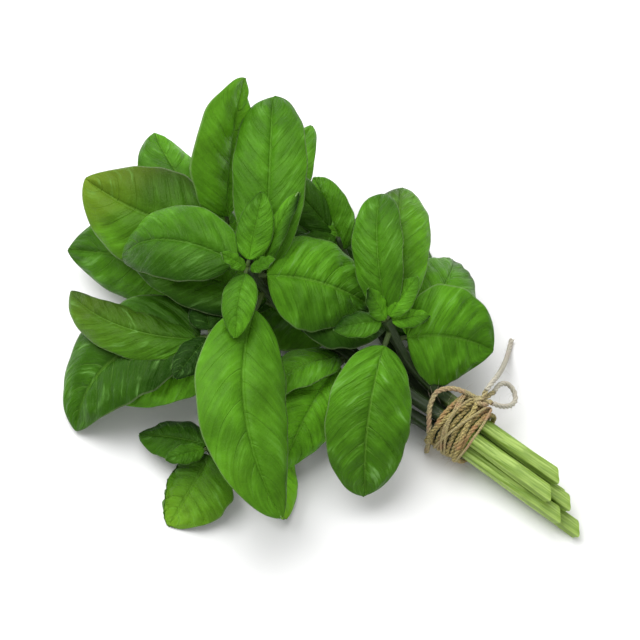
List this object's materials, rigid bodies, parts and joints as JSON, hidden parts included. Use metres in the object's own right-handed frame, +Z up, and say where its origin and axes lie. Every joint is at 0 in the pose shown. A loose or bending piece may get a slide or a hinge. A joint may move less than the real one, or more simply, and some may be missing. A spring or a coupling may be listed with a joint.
{
  "type": "basil bunch",
  "caption": "Bunch of cut sweet basil lying on its side, its leafy stems tied near the cut ends with a few turns of jute twine and a small bow.",
  "frame": {"origin": "middle of the small flat spot under the head, where the lowest leaf is pressed on the surface", "axes": "+X along the bunch from the cut ends to the leaves, +Z up from the surface that it lies on"},
  "size_m": [0.2418, 0.168, 0.0892],
  "materials": {
    "leaf_bright": "soft gloss, bright green, with paler veins and underside",
    "leaf_mid": "soft gloss, mid green, with paler veins and underside",
    "leaf_dark": "soft gloss, dark green, with paler veins and underside",
    "basil_stem": "smooth, moist, pale yellow-green",
    "jute_twine": "matt, hairy, twisted natural fibre"
  },
  "bodies": {
    "root": {"sprig_crown": "leaf_bright", "sprig_short": "leaf_bright", "sprig_front": "leaf_mid", "sprig_left": "leaf_mid", "sprig_left_low": "leaf_bright", "sprig_right": "leaf_dark", "sprig_right_low": "leaf_dark", "twine_tie": "jute_twine", "twine_bow_loop": "jute_twine", "twine_tail": "jute_twine"}
  },
  "joints": []
}
